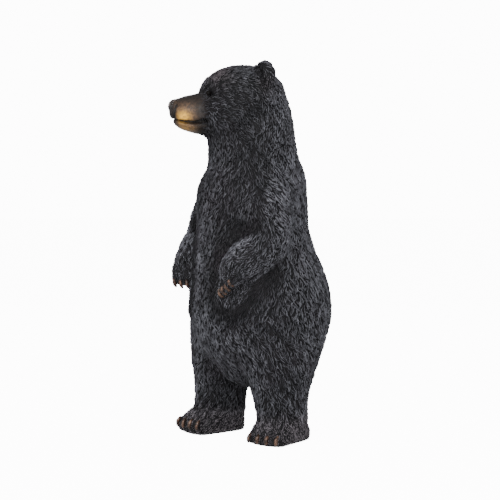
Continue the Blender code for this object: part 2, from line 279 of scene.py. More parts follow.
def gouge(piece, line, half_width, depth):
    """Presses a groove into a piece along a line."""
    push = depth * close_to(piece, line, half_width)
    at, out = points(piece)
    put(piece, at - out * push[:, None])


def snapped(piece, line, finer=4):
    """A line of points, divided finer and laid on the surface of a piece."""
    tree = bvhtree.BVHTree.FromObject(piece, bpy.context.evaluated_depsgraph_get())
    steps = [a.lerp(b, k / finer) for a, b in zip(line[:-1], line[1:]) for k in range(finer)]
    return [tree.find_nearest(p)[0] for p in steps + [line[-1]]]


def thumb(piece, spot, size, lift):
    """Raises a round patch of a piece, or sinks it where the lift is negative."""
    at, out = points(piece)
    near = np.exp(-np.sum(((at - np.array(spot)) / np.array(size)) ** 2, axis=1))
    put(piece, at + out * (lift * near)[:, None])


def on_head(x, y, z, way=1):
    """A point in the head's frame, on its left side or, with way -1, on its right."""
    return HEAD @ span(x * way, y, z)


def face_line(line, way=1):
    """A line of the face, laid on the skin."""
    return snapped(skin, [on_head(*p, way) for p in line])


def swell(spot, size, lift, way=1):
    """Raises or sinks a patch of the face."""
    thumb(skin, on_head(*spot, way), size, lift)


def groove(line, half_width, depth, way=1):
    """Cuts a groove into the face."""
    gouge(skin, face_line(line, way), half_width, depth)


print("skin has", len(skin.data.vertices), "points to carve")

# %% Mouth, lips, eye sockets and brows
# A swelling is a place, its size and its rise. A groove is a line, half its width and its depth.
MOUTH = [
    (0, -196, -58), (12, -192, -58), (26, -183, -62), (34, -163, -66), (42, -138, -68), (51, -112, -64),
]
MOUTH_CUT = (0.0014, 0.0042)
CORNER_CUT = (0.0032, 0.0012)
UPPER_LIP = ((34, -168, -40), (0.014, 0.014, 0.009), 0.0016)
LOWER_LIP = ((26, -170, -78), (0.016, 0.014, 0.006), 0.0012)
LID = ([(74, -86, 14), (67, -90, 26), (57, -94, 34), (46, -104, 28), (40, -114, 10)], 0.0024, 0.0016)
EYE = (60, -101, 9)
SOCKET = ((0.0062, 0.0062, 0.0050), -0.0032)
BROW = ((50, -84, 42), (0.012, 0.010, 0.009), 0.0012)
CHIN = ([(0, -208, -34), (0, -200, -58)], 0.0012, 0.0016)
FURROW = ([(0, -122, 34), (0, -60, 92)], 0.0090, 0.0010)
STOP = ([(-34, -112, 4), (0, -125, 16), (34, -112, 4)], 0.0042, 0.0014)
FOREHEAD = ((0, -112, 48), (0.014, 0.012, 0.011), 0.0016)
WING = [(29, -184, -20), (27, -188, -38), (21, -190, -56)]
WING_CUT = (0.0015, 0.0024)
LIPS_DARK = 0.0017  # half the width of the dark in the mouth: partly dark paint, partly painted shade
FOLDS_DARK = 0.0026  # and of the painted shade in the folds beside it and the nose

# The crease mask darkens the mouth line, partly as dark paint and partly as painted shade, and the folds
# beside the mouth corner and the nose wings as painted shade.
crease_paint_and_shade = np.zeros(len(skin.data.vertices))
for way in (-1, 1):
    mouth = face_line(MOUTH, way)
    corner = 0.9 * close_to(skin, mouth[12:], FOLDS_DARK)
    crease_paint_and_shade = np.max([crease_paint_and_shade, close_to(skin, mouth, LIPS_DARK), corner], axis=0)
    swell(*UPPER_LIP, way)
    swell(*LOWER_LIP, way)
    gouge(skin, mouth, *MOUTH_CUT)
    gouge(skin, mouth[10:], *CORNER_CUT)
    groove(*LID, way)
    socket = snapped(skin, [on_head(*EYE, way)] * 2, 1)[0]
    thumb(skin, socket, *SOCKET)
    swell(*BROW, way)
groove(*CHIN)
groove(*FURROW)
groove(*STOP)
swell(*FOREHEAD)
for way in (-1, 1):
    wing = face_line(WING, way)
    crease_paint_and_shade = np.maximum(crease_paint_and_shade, close_to(skin, wing, FOLDS_DARK))
    gouge(skin, wing, *WING_CUT)
print("face carved, dark creases on", int((crease_paint_and_shade > 0.5).sum()), "points")


# %% Toes and fingers
DIGITS = [-1.5, -0.5, 0.5, 1.5]  # the four toes or fingers of a row, seen from its middle
CLEFTS = [-2, -1, 0, 1, 2]
FINGER_SPREAD = 19.5
TOE_SPREAD = 28
TOE_CUT = (0.0021, 0.0042)  # half the width and the depth
TOE_TIPS_CUT = (0.0048, 0.0022)
FINGER_CUT = (0.0018, 0.0032)
LEFT_ARM_END = ((118, -140, 427), (121, -134, 448), (0.85, 0.0, 0.53))
RIGHT_ARM_END = ((-106, -142, 424), (-114, -136, 444), (0.85, 0.53, 0.0))


def hand_axes(end, before, side):
    """The ways down, across and to the front of a hand."""
    down = (Vector(end) - Vector(before)).normalized()
    across = Vector(side)
    front = down.cross(across).normalized()
    if front.y > 0:
        front.negate()
    return down, across, front


def toe_tip(k):
    """How far forward a toe's tip is."""
    return 3 * abs(k) - 74


clefts = []
for foot in (LEFT_FOOT, RIGHT_FOOT):
    for k in CLEFTS:
        x = k * TOE_SPREAD
        tip = toe_tip(k)
        line = [
            (x * 0.6, -8, 75),
            (x * 0.8, -34, 57),
            (x * 0.95, tip + 12, 38),
            (x, tip + 1, 22),
            (x, tip + 1, 2),
        ]
        line = snapped(skin, [foot @ span(*p) for p in line])
        clefts.append(line)
        gouge(skin, line[3:], *TOE_TIPS_CUT)
        gouge(skin, line, *TOE_CUT)

for end, before, side in (LEFT_ARM_END, RIGHT_ARM_END):
    down, across, front = hand_axes(end, before, side)
    for k in CLEFTS:
        at = Vector(end) + across * k * FINGER_SPREAD
        line = [
            at - across * k * 4 - down * 46 + front * 16,
            at - down * 18 + front * 17,
            at + front * 14,
            at + down * 16 + front * 4,
        ]
        line = snapped(skin, [place(*p) for p in line])
        clefts.append(line)
        gouge(skin, line, *FINGER_CUT)
print(len(clefts), "grooves part the toes and fingers")

# %% [markdown]
# ## Ears
#
# The ears are short cups that open forwards. The bowl of each is sunk a little more, so that it holds
# a shadow, and its rim stays thick and round, as resin needs it.

# %% Sink the bowls of the ears
EAR = (76, 41, 58.7)
EAR_TURN = 20
BOWL_SIZE = 0.0085
BOWL_DEPTH = 0.0035

solid = bvhtree.BVHTree.FromObject(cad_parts["bear"], bpy.context.evaluated_depsgraph_get())


def back_to_solid(piece, amount):
    """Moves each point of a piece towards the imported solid, by a share of the way there."""
    at, _ = points(piece)
    for i in np.nonzero(amount > 0)[0]:
        at[i] += (np.array(solid.find_nearest(Vector(at[i]))[0]) - at[i]) * amount[i]
    put(piece, at)


for way in (-1, 1):
    ear = HEAD @ Matrix.Translation(span(EAR[0] * way, EAR[1], EAR[2]))
    at, _ = points(skin)
    back_to_solid(skin, 0.8 * fade(away(at, ear.translation), share(52), share(38)))
    ear = ear @ Matrix.Rotation(math.radians(EAR_TURN * way), 4, "Z")
    bowl = ear @ span(0, -16, 4)
    at, out = points(skin)
    near = np.exp(-np.sum(((at - np.array(bowl)) / BOWL_SIZE) ** 2, axis=1))
    inward = np.array(ear.to_3x3() @ Vector((0, 1, 0)))
    facing = np.clip(-(out @ inward), 0, 1)
    put(skin, at + inward * (BOWL_DEPTH * near * facing)[:, None])
print("ears hollowed")

# %% [markdown]
# ## How the coat lies
#
# Hair on a bear sweeps back over the skull, down the neck and flanks, and turns forwards over the
# feet. The guides below are places on the bear and the way that the hair runs there. Every other
# point takes a blend of the guides that are near it, laid flat on the skin.

# %% Guides for the lie of the hair
COAT_LIES = [
    ((0, 125, 850), (0, 0.1, -1)), ((0, 150, 650), (0, 0.1, -1)),
    ((0, 180, 480), (0, 0.3, -1)), ((0, 215, 330), (0, 0.0, -1)),
    ((0, -115, 790), (0, 0, -1)), ((0, -145, 640), (0, 0, -1)),
    ((0, -165, 470), (0, 0, -1)), ((0, -165, 330), (0, 0, -1)),
    ((108, 0, 810), (-0.1, -0.45, -1)), ((70, -110, 740), (-0.35, 0, -1)),
    ((75, -130, 600), (-0.45, -0.1, -1)), ((100, 120, 640), (0.1, 0.2, -1)),
    ((125, -10, 690), (0.2, 0.45, -1)), ((190, -30, 580), (0, 0.5, -1)),
    ((196, -40, 510), (-0.1, -0.3, -0.8)), ((160, -90, 490), (-0.3, -0.9, -0.6)),
    ((125, -140, 450), (-0.2, -0.6, -0.8)), ((110, -160, 420), (0, -0.2, -1)),
    ((120, -90, 400), (-0.6, 0, -1)), ((188, 20, 400), (-0.1, 0.1, -1)),
    ((130, 150, 400), (0.2, 0.2, -1)), ((150, 0, 250), (-0.1, 0.6, -1)),
    ((120, -90, 250), (0.4, 0.4, -1)), ((110, 120, 220), (0, -0.2, -1)),
    ((150, 20, 120), (0, 0.5, -1)), ((110, -60, 110), (0.1, -0.1, -1)),
    ((115, -80, 50), (0, -1, -0.5)),
]
HEAD_COAT_LIES = [
    ((20, -90, 40), (0.1, 0.4, 0.8)), ((30, -40, 85), (0.2, 1, 0.2)), ((30, 50, 80), (0.2, 1, -0.4)),
    ((80, -80, -20), (0.2, 1, -0.3)), ((105, -30, -20), (0, 1, -0.8)), ((95, -20, -80), (0, 0.7, -1)),
    ((105, 50, 0), (0, 0.4, -1)), ((40, -110, -90), (0.2, 1, -0.5)), ((40, -130, 0), (0.2, 1, 0.2)),
]
EASE = 0.015  # keeps a guide from taking over the points right beside it


def unit(rows):
    """Each row of an array at length one."""
    return rows / np.maximum(np.linalg.norm(rows, axis=-1, keepdims=True), 1e-9)


GUIDES = []  # pairs of a place and a way, those off the middle on both sides
for (x, y, z), (a, b, c) in COAT_LIES:
    for way in (-1, 1) if x else (1,):
        GUIDES.append((place(x * way, y, z), Vector((a * way, b, c))))
for (x, y, z), (a, b, c) in HEAD_COAT_LIES:
    for way in (-1, 1):
        GUIDES.append((on_head(x, y, z, way), HEAD.to_3x3() @ Vector((a * way, b, c))))


def coat_ways(at, out):
    """The way that the hair lies at each point."""
    total = np.zeros_like(at)
    for spot, way in GUIDES:
        near = np.sum((at - np.array(spot)) ** 2, axis=1)
        total += np.array(way.normalized()) / (near + EASE**2)[:, None] ** 2
    total -= out * np.sum(total * out, axis=1, keepdims=True)
    return unit(total)


print(len(GUIDES), "guides")


# %% Where the cast is bare
def bareness(at):
    """One where no strokes are cut, on the muzzle, and nought elsewhere."""
    head = within(HEAD, at)
    return fade(head[:, 1], -108, -128) * (np.abs(head[:, 2]) < FACE_REACH)


print("bare points:", int((bareness(points(skin)[0]) > 0.5).sum()))

# %% [markdown]
# ## Locks
#
# Before the single strokes the carver shapes locks, each about as long as a finger is wide. They
# overlap like tiles: a lock rises slowly from its root and ends in a pointed step. They are raised
# on the skin one after another, in an order shuffled with a fixed seed.

# %% Raise the locks
LOCK_LENGTH = 0.019
LOCK_WIDTH = 0.0085
LOCK_RISE = 0.0022
LOCK_ROOT = 0.25  # the share of a lock that lies behind its own middle


def tree_of_points(at):
    """A tree that finds the places near another one."""
    tree = kdtree.KDTree(len(at))
    for i, spot in enumerate(at):
        tree.insert(spot, i)
    tree.balance()
    return tree


def raise_locks(piece, length, width, rise, seed):
    """Raises overlapping locks of one size all over the coat."""
    at, out = points(piece)
    lie = coat_ways(at, out)
    bare = bareness(at)
    tree = tree_of_points(at)
    taken = bare > 0.5
    height = np.zeros(len(at))
    count = 0
    for i in np.random.default_rng(seed).permutation(len(at)):
        if taken[i]:
            continue
        near = np.array([n for _, n, _ in tree.find_range(at[i], length)])
        gap = at[near] - at[i]
        along = gap @ lie[i] / length
        across = gap @ np.cross(out[i], lie[i]) / width
        taken[near[(np.abs(along) < 0.28) & (np.abs(across) < 0.5)]] = True
        edge = 0.5 * np.sqrt(np.clip(1 - along, 0, 1))
        inside = (out[near] @ out[i] > 0.3) & (along > -LOCK_ROOT) & (np.abs(across) < edge)
        crown = 1 - (across / np.maximum(edge, 1e-6)) ** 2
        lift = (0.25 + 0.75 * np.clip(along + LOCK_ROOT, 0, 1)) * (0.3 + 0.7 * crown)
        height[near] = np.where(inside, np.maximum(height[near], lift), height[near])
        count += 1
    put(piece, at + out * (rise * (height - 0.6) * (1 - bare))[:, None])
    return count


print(raise_locks(skin, LOCK_LENGTH, LOCK_WIDTH, LOCK_RISE, 11), "locks")

# %% Draw the skin in, to leave room for the strokes
COAT_THICK = 0.0011
FLAT_BELOW = (0.009, 0.004)  # the heights where the skin starts to be flat sole, and where it is

at, _ = points(skin)
near_floor = fade(at[:, 2], *FLAT_BELOW)
back_to_solid(skin, near_floor)
at, out = points(skin)
on_ear = fade(within(HEAD, at)[:, 2], 84, 96)
drawn_in = COAT_THICK * (1 - bareness(at)) * (1 - near_floor) * (1 - 0.7 * on_ear)
put(skin, in_box(at - out * drawn_in[:, None]))
print("skin drawn in by up to", round(float(drawn_in.max()) * 1000, 2), "mm")

# %% [markdown]
# ## One stroke of the gouge
#
# A stroke leaves a little ridge of clay, like the hull of a canoe turned over: pointed at both ends
# and round on top. It is modelled once, from a three-sided cylinder whose end caps are drawn out to
# points and whose middle is cut once more, so that it can bend. It has only eighteen triangles,
# because it is repeated nearly thirty thousand times.

# %% Model the stroke
BODY_FROM = 0.30  # along a stroke from its root, 0, to its tip, 1
BODY_TO = 0.74
BODY_MIDDLE = 0.52

stroke = added(
    "stroke", bpy.ops.mesh.primitive_cylinder_add, vertices=3, radius=1, depth=0.44,
    end_fill_type="TRIFAN", location=(0, BODY_MIDDLE, 0), rotation=(math.radians(90), 0, 0),
)
bpy.ops.object.transform_apply(location=True, rotation=True, scale=True)


def pull_end(piece, near, step):
    """Moves the middle point of an end cap."""
    unselected(piece, "VERT")
    for v in piece.data.vertices:
        v.select = abs(v.co.y - near) < 0.01 and math.hypot(v.co.x, v.co.z) < 0.01
    bpy.ops.object.mode_set(mode="EDIT")
    bpy.ops.transform.translate(value=(0, step, 0))
    bpy.ops.object.mode_set(mode="OBJECT")


pull_end(stroke, BODY_FROM, -BODY_FROM)
pull_end(stroke, BODY_TO, 0.26)
bpy.ops.object.mode_set(mode="EDIT")
bpy.ops.mesh.select_all(action="SELECT")
bpy.ops.mesh.bisect(plane_co=(0, BODY_MIDDLE, 0), plane_no=(0, 1, 0))
bpy.ops.object.mode_set(mode="OBJECT")
for v in stroke.data.vertices:
    if abs(v.co.y - BODY_MIDDLE) < 0.01:
        v.co.x *= 1.18
        v.co.z *= 1.15
STROKE_POINTS = np.array([v.co for v in stroke.data.vertices])
STROKE_FACES = [list(p.vertices) for p in stroke.data.polygons]
STROKE_TRIANGLES = sum(len(corners) - 2 for corners in STROKE_FACES)
print("a stroke:", len(STROKE_POINTS), "points,", STROKE_TRIANGLES, "triangles")

# %% [markdown]
# ## Laying the strokes
#
# Each stroke starts on the skin, follows the lie of the hair with a small turn of its own, and bends
# round the body, because its five stations are dropped on to the skin one by one. Strokes of one
# tuft lean the same way, as hair does. Roots keep their distance, more along the hair than across it,
# so that the coat is even. The strokes get finer on the face, ears, arms, hands and feet, and the
# grooves between the toes and fingers are kept free of them.

# %% Tools for laying strokes
WAVES = 5  # crossing waves that make up a noise


def surface_of(piece):
    """A tree that finds the nearest face, and each face's smooth normal."""
    mesh = piece.data
    corners = [tuple(p.vertices) for p in mesh.polygons]
    at, out = points(piece)
    tree = bvhtree.BVHTree.FromPolygons([Vector(p) for p in at], corners)
    smooth = unit(np.array([out[list(c)].mean(axis=0) for c in corners]))
    return tree, smooth


def scattered(piece, count, seed):
    """Places spread at random over a piece's faces, with their normals."""
    mesh = piece.data
    mesh.calc_loop_triangles()
    corners = np.empty(len(mesh.loop_triangles) * 3, np.int32)
    mesh.loop_triangles.foreach_get("vertices", corners)
    corners = corners.reshape(-1, 3)
    at, out = points(piece)
    a, b, c = at[corners[:, 0]], at[corners[:, 1]], at[corners[:, 2]]
    area = np.linalg.norm(np.cross(b - a, c - a), axis=1) / 2
    dice = np.random.default_rng(seed)
    chosen = dice.choice(len(area), size=count, p=area / area.sum())
    u, v = dice.random(count), dice.random(count)
    over = u + v > 1
    u[over], v[over] = 1 - u[over], 1 - v[over]
    u, v = u[:, None], v[:, None]
    corner = corners[chosen]
    spots = at[corner[:, 0]] * (1 - u - v) + at[corner[:, 1]] * u + at[corner[:, 2]] * v
    normals = out[corner[:, 0]] * (1 - u - v) + out[corner[:, 1]] * u + out[corner[:, 2]] * v
    return spots, unit(normals)


def spaced(at, out, lie, along, across, seed):
    """Which places to keep so that none crowds another."""
    tree = tree_of_points(at)
    side = np.cross(out, lie)
    taken = np.zeros(len(at), bool)
    kept = []
    for i in np.random.default_rng(seed).permutation(len(at)):
        if taken[i]:
            continue
        kept.append(i)
        near = np.array([n for _, n, _ in tree.find_range(at[i], along[i])])
        gap = at[near] - at[i]
        far = (gap @ lie[i] / along[i]) ** 2 + (gap @ side[i] / across[i]) ** 2
        taken[near[far < 1]] = True
    return np.array(kept)


def smooth_noise(at, size, seed):
    """A value between -1 and 1 that changes slowly from place to place."""
    dice = np.random.default_rng(seed)
    total = np.zeros(len(at))
    for _ in range(WAVES):
        wave = dice.normal(size=3) / size
        total += np.sin(at @ wave * 2.2 + dice.uniform(0, 6.28))
    return np.clip(total / 2.4, -1, 1)


tree, smooth = surface_of(skin)
print("surface to lay the strokes on:", len(smooth), "faces")

# %% Where the arms are
LEFT_ARM = [
    (160, -5, 640), (158, -20, 590), (150, -38, 532),
    (141, -76, 499), (124, -118, 468), (117, -142, 420),
]
RIGHT_ARM = [
    (-160, -20, 640), (-154, -40, 580), (-146, -58, 532),
    (-138, -88, 499), (-124, -118, 470), (-104, -143, 416),
]


def arms_and_painted_shadow(at):
    """How near each place is to an arm, and how much painted shadow falls in the hollow beside and under
    it.
    """
    far = np.minimum(*(beside(at, [place(*p) for p in line]) for line in (LEFT_ARM, RIGHT_ARM)))
    on_arm = fade(far, share(60), share(50))
    # Painted shadow in the hollows beside and under the forearms, low on the front of the body and off the
    # arms themselves.
    painted_arm_shadow = 0.38 * fade(far, share(125), share(70)) + 0.27 * fade(far, share(84), share(66))
    painted_arm_shadow *= (1 - on_arm) * fade(at[:, 2], 0.305, 0.285) * fade(at[:, 1], 0.0, -0.02)
    return on_arm, painted_arm_shadow


print(len(LEFT_ARM) + len(RIGHT_ARM), "places along the arms")

# %% Spread the roots
ROOTS_TRIED = 500000
EYE_CLEAR = 0.0052  # the radius round an eye where no stroke starts
CLEFT_CLEAR = 0.0016

spots, normals = scattered(skin, ROOTS_TRIED, 3)
bare = bareness(spots)
sole = (spots[:, 2] < 0.0016) | (normals[:, 2] < -0.97) & (spots[:, 2] < 0.004)
on_eye = np.zeros(len(spots), bool)
for way in (-1, 1):
    on_eye |= away(spots, on_head(*EYE, way)) < EYE_CLEAR
kept = (bare < np.random.default_rng(9).uniform(0.1, 0.95, len(spots))) & ~sole & ~on_eye
spots, normals, bare = spots[kept], normals[kept], bare[kept]
lies = coat_ways(spots, normals)
head_spots = within(HEAD, spots)
on_skull = fade(spots[:, 2], 0.385, 0.415) * fade(np.linalg.norm(head_spots, axis=1), 190, 150)
tiny = fade(spots[:, 2], 0.040, 0.024)
for hand in HANDS:
    tiny = np.maximum(tiny, fade(away(spots, place(*hand)), share(75), share(45)))
on_ears = fade(head_spots[:, 2], 80, 90) * on_skull
on_arm, _ = arms_and_painted_shadow(spots)
on_arm *= fade(spots[:, 2], 0.27, 0.25)
finer = np.max([0.5 * on_skull, 1.7 * tiny, 1.2 * on_ears, 1.8 * bare, 1.1 * on_arm], axis=0)
digits = np.nonzero(tiny > 0)[0]
in_cleft = digits[np.min([beside(spots[digits], line) for line in clefts], axis=0) < CLEFT_CLEAR]
kept = np.delete(np.arange(len(spots)), in_cleft)
spots, normals, lies, finer = spots[kept], normals[kept], lies[kept], finer[kept]
root_along = 0.0039 - 0.0008 * finer
root_across = 0.00146 - 0.00008 * finer
kept = spaced(spots, normals, lies, root_along, root_across, 5)
spots, normals, lies, finer = spots[kept], normals[kept], lies[kept], finer[kept]
print(len(spots), "strokes")


# %% Lay them on the skin
LIFT = 0.0002  # how far a tip stands off the skin
LIFT_MORE = 0.0006  # and how much more where the coat is full
SUNK = 0.0004  # how deep a root is sunk
ABOVE_FLOOR = 0.0002


def rotated(ways, axes, angles):
    """Ways turned about their axes by angles."""
    c, s = np.cos(angles)[:, None], np.sin(angles)[:, None]
    return ways * c + np.cross(axes, ways) * s


def laid(spots, normals, lies, finer, tree, smooth, seed):
    """The points of all strokes."""
    dice = np.random.default_rng(seed)
    count = len(spots)
    length = (0.0112 - 0.0036 * finer) * dice.uniform(0.65, 1.4, count)
    half = (0.00059 - 0.00003 * finer) * dice.uniform(0.65, 1.35, count)
    high = (0.00160 - 0.00040 * finer) * dice.uniform(0.4, 1.4, count)
    turn = 0.42 * smooth_noise(spots, 0.008, 21) + dice.normal(0, 0.13, count)
    curl = 0.9 * smooth_noise(spots, 0.010, 22) + dice.normal(0, 0.30, count)
    ways = rotated(lies, normals, turn)
    stations = {}
    for y in np.unique(np.round(STROKE_POINTS[:, 1], 2)):
        step = rotated(ways, normals, curl * y * 0.5) * (length * y)[:, None]
        reached = spots + step
        found = np.empty_like(reached)
        facing = np.empty_like(reached)
        for i, spot in enumerate(reached):
            where, _, face, _ = tree.find_nearest(spot)
            found[i] = where
            facing[i] = smooth[face]
        stations[y] = (found, facing)
    at = np.empty((count, len(STROKE_POINTS), 3))
    for k, (x, y, z) in enumerate(STROKE_POINTS):
        found, facing = stations[np.round(y, 2)]
        side = unit(np.cross(ways, facing))
        rise = (LIFT + LIFT_MORE * (1 - finer)) * y**2 - SUNK * (1 - 0.6 * y)
        up = high * z + rise
        at[:, k] = found + side * (x * half)[:, None] + facing * up[:, None]
    return in_box(at, ABOVE_FLOOR)


stroke_at = laid(spots, normals, lies, finer, tree, smooth, 31)
bpy.data.objects.remove(stroke)
print("strokes laid:", stroke_at.shape)

# %% [markdown]
# ## The coat in five pieces
#
# All the strokes are more than one mesh carries well, so the coat is five pieces by height. The cast
# was dipped black and then dry-brushed grey on its crests, and the grey of the crests here also stands
# for a painted highlight. So each point keeps four values for the paint: how high it is on its stroke,
# a shade of its stroke's own, how brown the wash is, and its painted light and shade: darker where it
# sees little of the sky, lighter where it is out in the open.

# %% Build the coat
CUTS = [
    ("coat_feet", 0.0, 0.060), ("coat_legs", 0.060, 0.150), ("coat_belly", 0.150, 0.262),
    ("coat_chest", 0.262, 0.368), ("coat_head", 0.368, 0.600),
]
SKY_RAYS = 14
SKY_START = 0.003
SKY_REACH = 0.10


def attribute(piece, name, values):
    """Stores one value per point of a piece."""
    layer = piece.data.attributes.new(name, "FLOAT", "POINT")
    layer.data.foreach_set("value", np.ascontiguousarray(values, np.float32))


def openness(tree, at, out):
    """How much of the sky each place sees, as a share."""
    rays = []
    for k in range(SKY_RAYS):
        up = 1 - (k + 0.5) / SKY_RAYS
        flat = math.sqrt(1 - up * up)
        rays.append(Vector((flat * math.cos(2.4 * k), flat * math.sin(2.4 * k), up)))
    total = np.zeros(len(at))
    for i, (spot, facing) in enumerate(zip(at, out)):
        facing = Vector(facing)
        start = Vector(spot) + facing * SKY_START
        round_it = facing.to_track_quat("Z", "Y")
        total[i] = sum(tree.ray_cast(start, round_it @ ray, SKY_REACH)[0] is None for ray in rays)
    return total / SKY_RAYS


def warmth(at):
    """How brown the wash is at each place: on the forehead, about the ears and on the feet."""
    head = within(HEAD, at)
    brow = np.exp(-(((head[:, 1] + 82) / 34) ** 2 + ((head[:, 2] - 52) / 34) ** 2))
    ears = np.exp(-(((head[:, 1] - 34) / 26) ** 2 + ((head[:, 2] - 40) / 26) ** 2))
    return np.clip(brow + 0.8 * ears + 0.7 * fade(at[:, 2], 0.055, 0.02), 0, 1)


def coat_piece(name, chosen, seed):
    """One piece of the coat from the chosen strokes."""
    at = stroke_at[chosen]
    faces = []
    firsts = np.arange(len(at))[:, None] * len(STROKE_POINTS)
    for corners in STROKE_FACES:
        faces += (firsts + np.array(corners)).tolist()
    mesh = bpy.data.meshes.new(name)
    mesh.from_pydata(at.reshape(-1, 3).tolist(), [], faces)
    mesh.shade_smooth()
    piece = linked(name, mesh)
    only(piece)
    bpy.ops.object.mode_set(mode="EDIT")
    bpy.ops.mesh.select_all(action="SELECT")
    bpy.ops.mesh.normals_make_consistent(inside=False)
    bpy.ops.object.mode_set(mode="OBJECT")
    roots = spots[chosen]
    shade = 0.5 * np.random.default_rng(seed).random(len(at)) + 0.25 + 0.25 * smooth_noise(roots, 0.005, 51)
    shade += 0.25 * fade(roots[:, 2], 0.055, 0.030)
    attribute(piece, "ridge", np.tile(np.clip(STROKE_POINTS[:, 2], 0, 1), len(at)))
    for label, values in (("shade", shade), ("warm", warmth(roots)), ("painted_light_shade", painted_light_and_shade[chosen])):
        attribute(piece, label, np.repeat(values, len(STROKE_POINTS)))
    return piece


# Painted light and shade: a stroke that sees little of the sky is painted darker, as shade in the hollows.
# The arms and hands are painted lighter, as lit. The hollows beside and under the forearms, the front of
# the body above the chest's middle and the clefts of the toes and fingers are painted darker, as shadow.
# The legs and feet are painted lighter, as lit. A slow noise varies it at random.
painted_light_and_shade = openness(tree, spots, normals)
on_arm, painted_arm_shadow = arms_and_painted_shadow(spots)
painted_light_and_shade = np.clip(np.maximum(painted_light_and_shade * (0.9 + 0.2 * on_arm), on_arm) * (1 - painted_arm_shadow), 0, 1)
painted_light_and_shade *= 1 - 0.20 * fade(spots[:, 2], 0.25, 0.28) * fade(spots[:, 1], 0.0, -0.03) * (1 - on_arm)
painted_light_and_shade = np.maximum(painted_light_and_shade, 0.97 * fade(spots[:, 2], 0.050, 0.030))
painted_light_and_shade = np.maximum(painted_light_and_shade, 0.68 * fade(spots[:, 2], 0.150, 0.115))
painted_light_and_shade *= 1 + 0.10 * smooth_noise(spots, 0.013, 61)
by_cleft = np.min([beside(spots, line) for line in clefts], axis=0)
painted_light_and_shade *= 1 - 0.4 * np.exp(-((by_cleft / 0.0022) ** 2))
print("open:", np.round(np.percentile(painted_light_and_shade, [5, 25, 50, 75]), 2).tolist())
coats = []
for seed, (name, low, high) in enumerate(CUTS):
    chosen = (spots[:, 2] >= low) & (spots[:, 2] < high)
    coats.append(coat_piece(name, chosen, seed))
    print(name, int(chosen.sum()), "strokes", int(chosen.sum()) * STROKE_TRIANGLES, "triangles")

# %% [markdown]
# ## Claws
#
# The claws are thick and blunt, since a thin one would snap off a resin cast. One is drawn from a
# ball: stretched, narrowed towards its root and curved. It is then copied to every toe and finger.

# %% Model one claw
claw = added("claw", bpy.ops.mesh.primitive_uv_sphere_add, segments=14, ring_count=10, radius=1)
CLAW_POINTS, _ = points(claw)
from_tip = (CLAW_POINTS[:, 2] + 1) / 2
wide = 1.0 - 0.45 * from_tip**1.5
CLAW_POINTS[:, 0] *= wide
CLAW_POINTS[:, 1] *= wide
put(claw, CLAW_POINTS)


def claw_copy(name, line, side, half):
    """A copy of the claw along a line from its root to its tip."""
    piece = linked(name, claw.data.copy())
    line = np.array(line)
    t = (1 - CLAW_POINTS[:, 2]) / 2 * (len(line) - 1)
    i = np.clip(t.astype(int), 0, len(line) - 2)
    f = (t - i)[:, None]
    before, here, there, after = (line[np.clip(i + k, 0, len(line) - 1)] for k in (-1, 0, 1, 2))
    bend = 2 * before - 5 * here + 4 * there - after + f * (3 * (here - there) + after - before)
    path = here + 0.5 * f * (there - before + f * bend)
    along = unit(there - here)
    across = unit(np.array(side) - along * (along @ np.array(side))[:, None])
    deep = np.cross(along, across)
    at = path + across * (CLAW_POINTS[:, 0] * half)[:, None]
    put(piece, at + deep * (CLAW_POINTS[:, 1] * half)[:, None])
    piece.data.shade_smooth()
    return piece


LEFT_TOE_CLAW = [(4, 32), (-5, 26), (-10, 17), (-9, 6)]
RIGHT_TOE_CLAW = [(3, 43), (-5, 37), (-10, 28), (-9, 16)]
FINGER_CLAW = [(9, -9), (12, 0), (5, 9), (-8, 12)]
TOE_CLAW_HALF = 6.0
FINGER_CLAW_HALF = 5.4
FEET = [("left_toe", LEFT_FOOT, LEFT_TOE_CLAW), ("right_toe", RIGHT_FOOT, RIGHT_TOE_CLAW)]

print("a claw:", len(CLAW_POINTS), "points")

# %% Copy the claw to every toe and finger
claws = []
for name, foot, claw_line in FEET:
    side = foot.to_3x3() @ Vector((1, 0, 0))
    for number, k in enumerate(DIGITS):
        x = k * TOE_SPREAD * 1.02
        line = [foot @ span(x, toe_tip(k) + y, z) for y, z in claw_line]
        claws.append(claw_copy(f"{name}_claw_{number + 1}", line, side, share(TOE_CLAW_HALF)))
for name, (end, before, side) in (("left_finger", LEFT_ARM_END), ("right_finger", RIGHT_ARM_END)):
    down, across, front = hand_axes(end, before, side)
    for number, k in enumerate(DIGITS):
        drop = 15 - 2.5 * abs(k)
        spot = Vector(end) + across * k * FINGER_SPREAD
        line = [place(*(spot + down * (drop + z) + front * y)) for y, z in FINGER_CLAW]
        claws.append(claw_copy(f"{name}_claw_{number + 1}", line, across, share(FINGER_CLAW_HALF)))
bpy.data.objects.remove(claw)
print(len(claws), "claws")

# %% [markdown]
# ## Nose and eyes
#
# The nose is a leathery pad. It starts as a ball, and the faces over each nostril are inset and pushed
# in. The eyes are plain beads in their sockets, and their lids are already carved on the skin.

# %% Model the nose
NOSE = (0, -185, -22)
NOSE_HALF = (25, 19, 19)
NOSTRIL = (0.52, -0.10)  # across and up


def in_nostril(c, way):
    """Whether a place on the ball is in the nostril of one side."""
    return (c.x * way - NOSTRIL[0]) ** 2 * 3.0 + (c.z - NOSTRIL[1]) ** 2 * 3.0 < 0.16 and c.y < -0.3


def pick(piece, test):
    """Selects the faces of a piece whose middles pass a test."""
    unselected(piece, "FACE")
    for face in piece.data.polygons:
        face.select = test(face.center)
    bpy.ops.object.mode_set(mode="EDIT")


